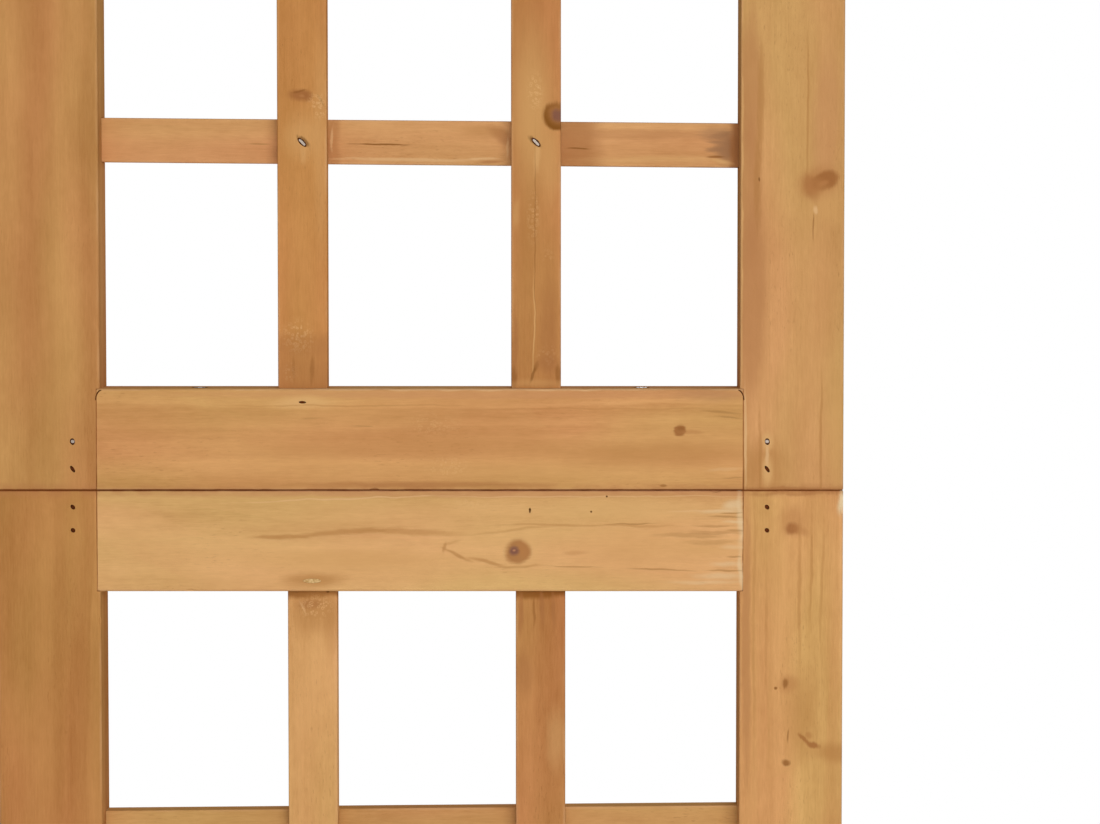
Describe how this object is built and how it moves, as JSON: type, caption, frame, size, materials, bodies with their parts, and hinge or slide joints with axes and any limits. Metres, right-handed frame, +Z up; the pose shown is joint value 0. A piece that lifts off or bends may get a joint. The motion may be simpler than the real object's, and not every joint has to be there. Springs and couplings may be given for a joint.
{
  "type": "room divider",
  "caption": "Folding trellis room divider in stained fir: lattice frames stacked in pairs as tall panels, hinged edge to edge in a zigzag.",
  "frame": {"origin": "on the floor under the centre of the middle panel, which is the centre of the screen's footprint", "axes": "+Z up; the left and right panels stand parallel to X, and the right one's front faces -Y; the middle panel runs from back left to front right"},
  "size_m": [1.0358, 0.3952, 1.7],
  "materials": {
    "frame_wood": "satin stain",
    "lattice_wood": "satin stain",
    "peg_wood": "bare",
    "nail_steel": "dull wire",
    "zinc_steel": "bright zinc",
    "hinge_steel": "zinc plated"
  },
  "bodies": {
    "left_panel": {"left_panel_upper_left_stile": "frame_wood", "left_panel_upper_right_stile": "frame_wood", "left_panel_lower_left_stile": "frame_wood", "left_panel_lower_right_stile": "frame_wood", "left_panel_top_rail": "frame_wood", "left_panel_upper_middle_rail": "frame_wood", "left_panel_lower_middle_rail": "frame_wood", "left_panel_bottom_rail": "frame_wood", "left_panel_upper_uprights": "lattice_wood", "left_panel_lower_uprights": "lattice_wood", "left_panel_upper_cross_slats": "lattice_wood", "left_panel_lower_cross_slats": "lattice_wood", "left_panel_brads_and_staples": "nail_steel", "left_panel_pegs": "peg_wood", "left_panel_bolts": "zinc_steel", "left_panel_sleeve_nuts": "zinc_steel", "left_hinge_outer_plates": "hinge_steel", "left_hinge_outer_screws": "hinge_steel"},
    "middle_panel": {"middle_panel_upper_left_stile": "frame_wood", "middle_panel_upper_right_stile": "frame_wood", "middle_panel_lower_left_stile": "frame_wood", "middle_panel_lower_right_stile": "frame_wood", "middle_panel_top_rail": "frame_wood", "middle_panel_upper_middle_rail": "frame_wood", "middle_panel_lower_middle_rail": "frame_wood", "middle_panel_bottom_rail": "frame_wood", "middle_panel_upper_uprights": "lattice_wood", "middle_panel_lower_uprights": "lattice_wood", "middle_panel_upper_cross_slats": "lattice_wood", "middle_panel_lower_cross_slats": "lattice_wood", "middle_panel_brads_and_staples": "nail_steel", "middle_panel_pegs": "peg_wood", "middle_panel_bolts": "zinc_steel", "middle_panel_sleeve_nuts": "zinc_steel", "left_hinge_middle_plates": "hinge_steel", "left_hinge_middle_screws": "hinge_steel", "left_hinge_pins": "hinge_steel", "right_hinge_middle_plates": "hinge_steel", "right_hinge_middle_screws": "hinge_steel", "right_hinge_pins": "hinge_steel"},
    "right_panel": {"right_panel_upper_left_stile": "frame_wood", "right_panel_upper_right_stile": "frame_wood", "right_panel_lower_left_stile": "frame_wood", "right_panel_lower_right_stile": "frame_wood", "right_panel_top_rail": "frame_wood", "right_panel_upper_middle_rail": "frame_wood", "right_panel_lower_middle_rail": "frame_wood", "right_panel_bottom_rail": "frame_wood", "right_panel_upper_uprights": "lattice_wood", "right_panel_lower_uprights": "lattice_wood", "right_panel_upper_cross_slats": "lattice_wood", "right_panel_lower_cross_slats": "lattice_wood", "right_panel_brads_and_staples": "nail_steel", "right_panel_pegs": "peg_wood", "right_panel_bolts": "zinc_steel", "right_panel_sleeve_nuts": "zinc_steel", "right_hinge_outer_plates": "hinge_steel", "right_hinge_outer_screws": "hinge_steel"}
  },
  "joints": [
    {"name": "left_fold", "type": "hinge", "parent": "middle_panel", "child": "left_panel", "pos_m": [-0.11602, 0.16615, 0], "axis": [0, 0, 1], "range_deg": [-60, 120]},
    {"name": "right_fold", "type": "hinge", "parent": "middle_panel", "child": "right_panel", "pos_m": [0.11602, -0.16615, 0], "axis": [0, 0, 1], "range_deg": [-60, 120]}
  ]
}
